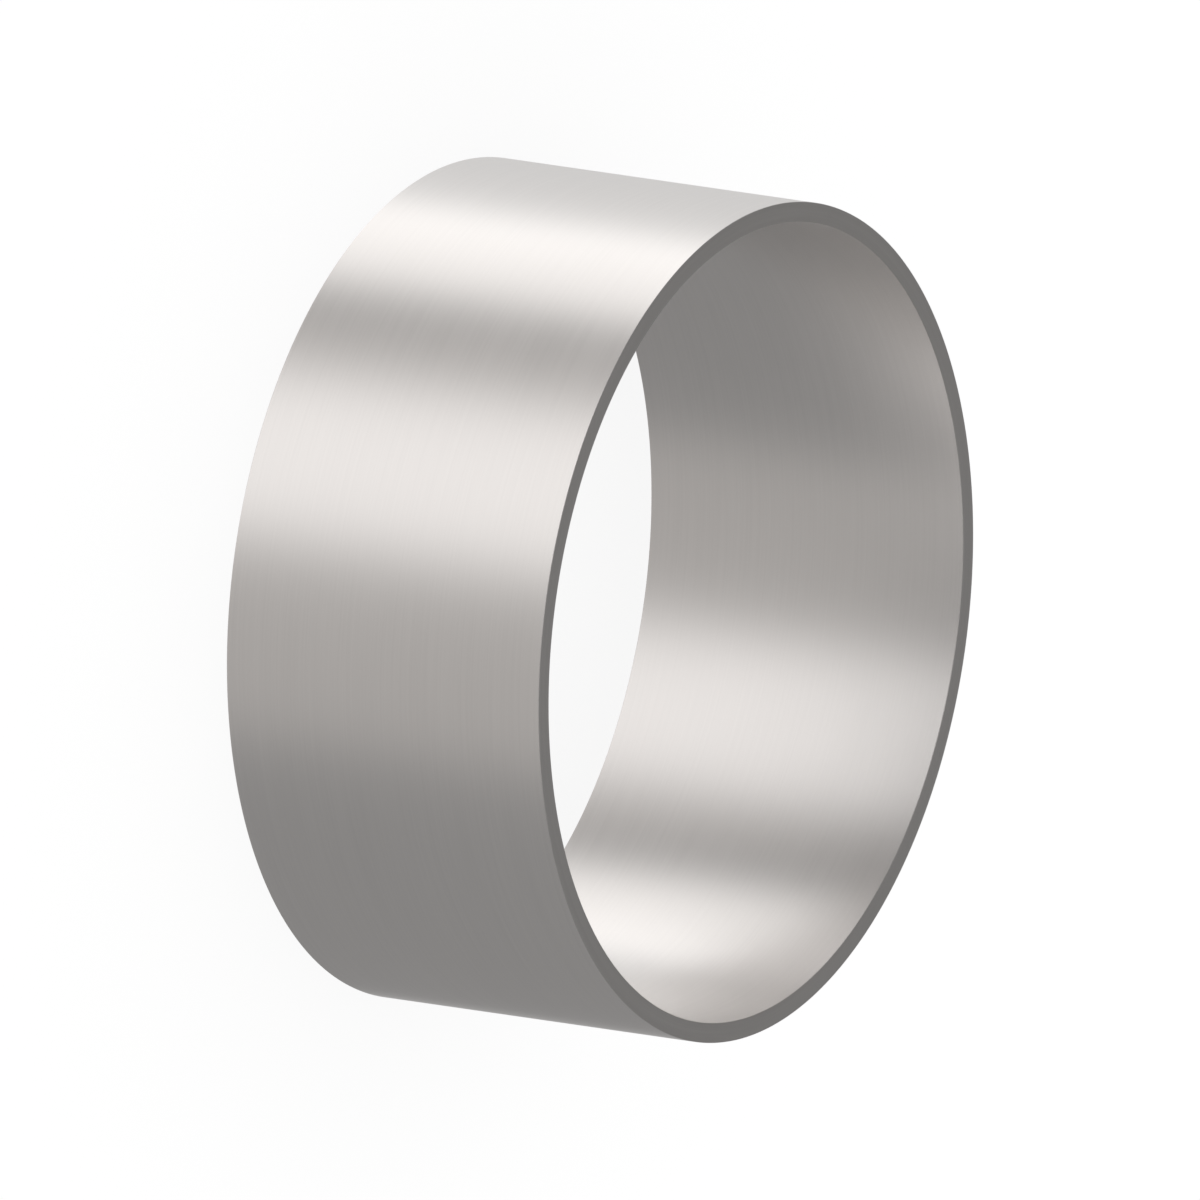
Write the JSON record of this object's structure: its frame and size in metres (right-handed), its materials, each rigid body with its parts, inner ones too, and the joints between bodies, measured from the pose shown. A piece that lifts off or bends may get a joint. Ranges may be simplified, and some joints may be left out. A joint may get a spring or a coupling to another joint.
{
  "type": "bearing spacer",
  "caption": "Plain thin-walled steel ring with square ends that sits between ball bearings in a housing and keeps them a set distance apart; open bore.",
  "frame": {"origin": "centre of the lower end face, on the ring's axis", "axes": "+Z along the ring's axis, from the lower end face to the upper one; X and Y are across the ring, which is round and the same in every direction"},
  "size_m": [0.042, 0.042, 0.018],
  "materials": {
    "steel": "bare steel, turned to an even satin finish inside and out, ends faced square"
  },
  "bodies": {
    "root": {"spacer_ring": "steel"}
  },
  "joints": []
}
